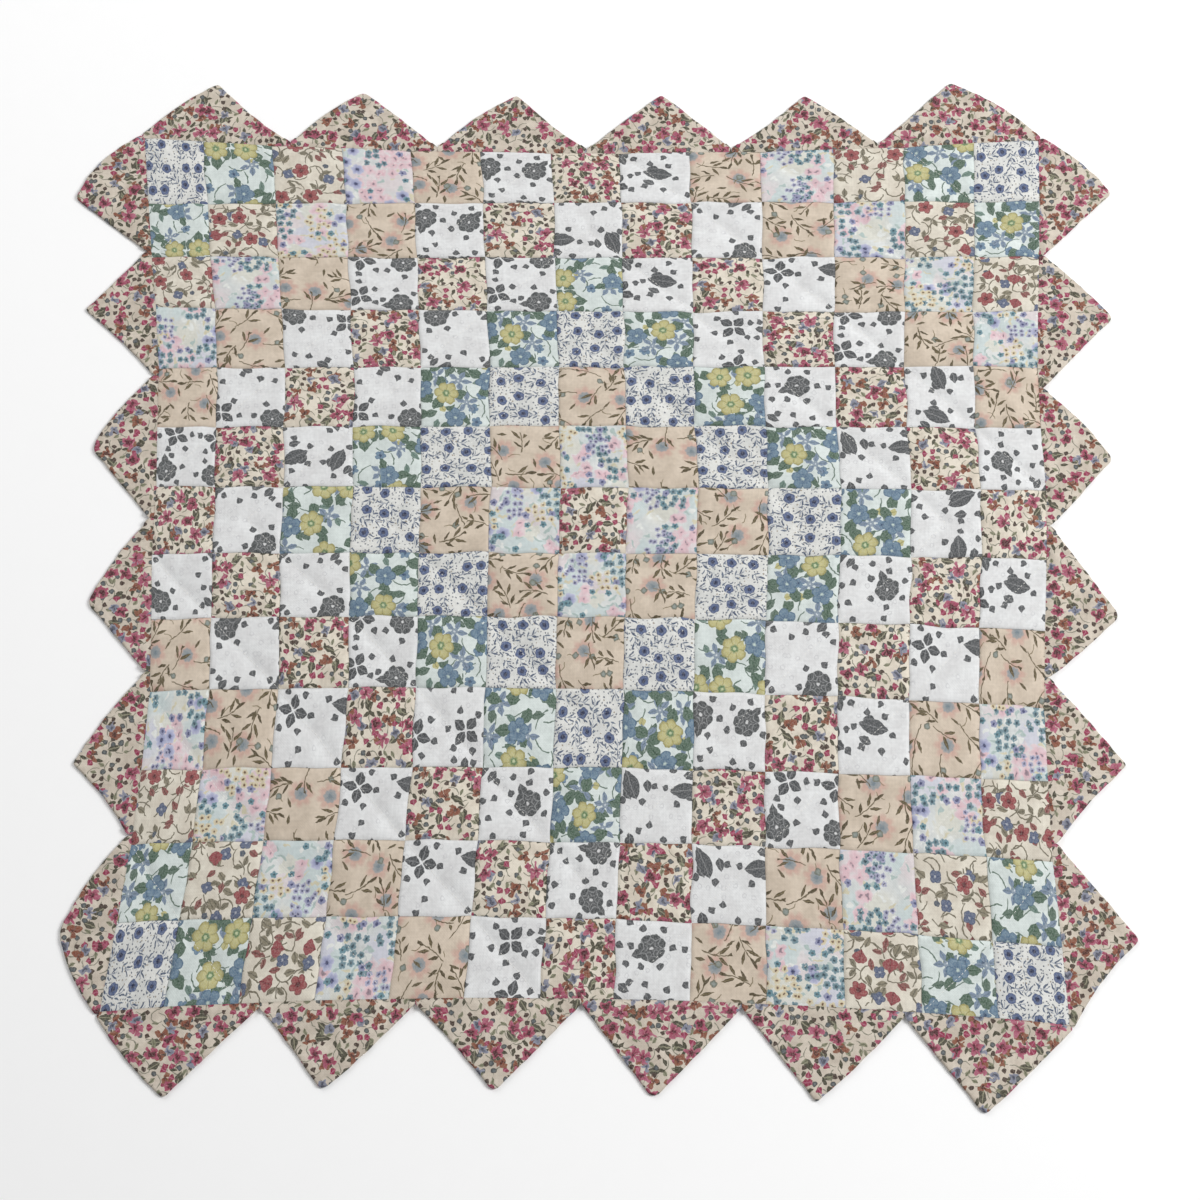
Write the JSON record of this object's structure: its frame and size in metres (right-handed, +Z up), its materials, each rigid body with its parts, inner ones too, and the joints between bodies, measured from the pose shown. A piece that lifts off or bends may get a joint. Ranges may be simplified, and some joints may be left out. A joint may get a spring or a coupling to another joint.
{
  "type": "patchwork quilt",
  "caption": "Flat lap quilt of small sewn squares in concentric diamonds, with a dog-tooth edge of cloth points.",
  "frame": {"origin": "middle of the quilt's underside, on the surface that it lies on", "axes": "+Z up through the thickness, +Y towards the quilt's upper edge, +X to its right"},
  "size_m": [0.7876, 0.7906, 0.0028],
  "materials": {
    "patchwork_cotton": "matt printed cotton",
    "border_cotton": "matt printed cotton"
  },
  "bodies": {
    "root": {"patchwork_panel": "patchwork_cotton", "top_point_1": "border_cotton", "top_point_2": "border_cotton", "top_point_3": "border_cotton", "top_point_4": "border_cotton", "top_point_5": "border_cotton", "top_point_6": "border_cotton", "right_point_1": "border_cotton", "right_point_2": "border_cotton", "right_point_3": "border_cotton", "right_point_4": "border_cotton", "right_point_5": "border_cotton", "right_point_6": "border_cotton", "bottom_point_1": "border_cotton", "bottom_point_2": "border_cotton", "bottom_point_3": "border_cotton", "bottom_point_4": "border_cotton", "bottom_point_5": "border_cotton", "bottom_point_6": "border_cotton", "left_point_1": "border_cotton", "left_point_2": "border_cotton", "left_point_3": "border_cotton", "left_point_4": "border_cotton", "left_point_5": "border_cotton", "left_point_6": "border_cotton"}
  },
  "joints": []
}
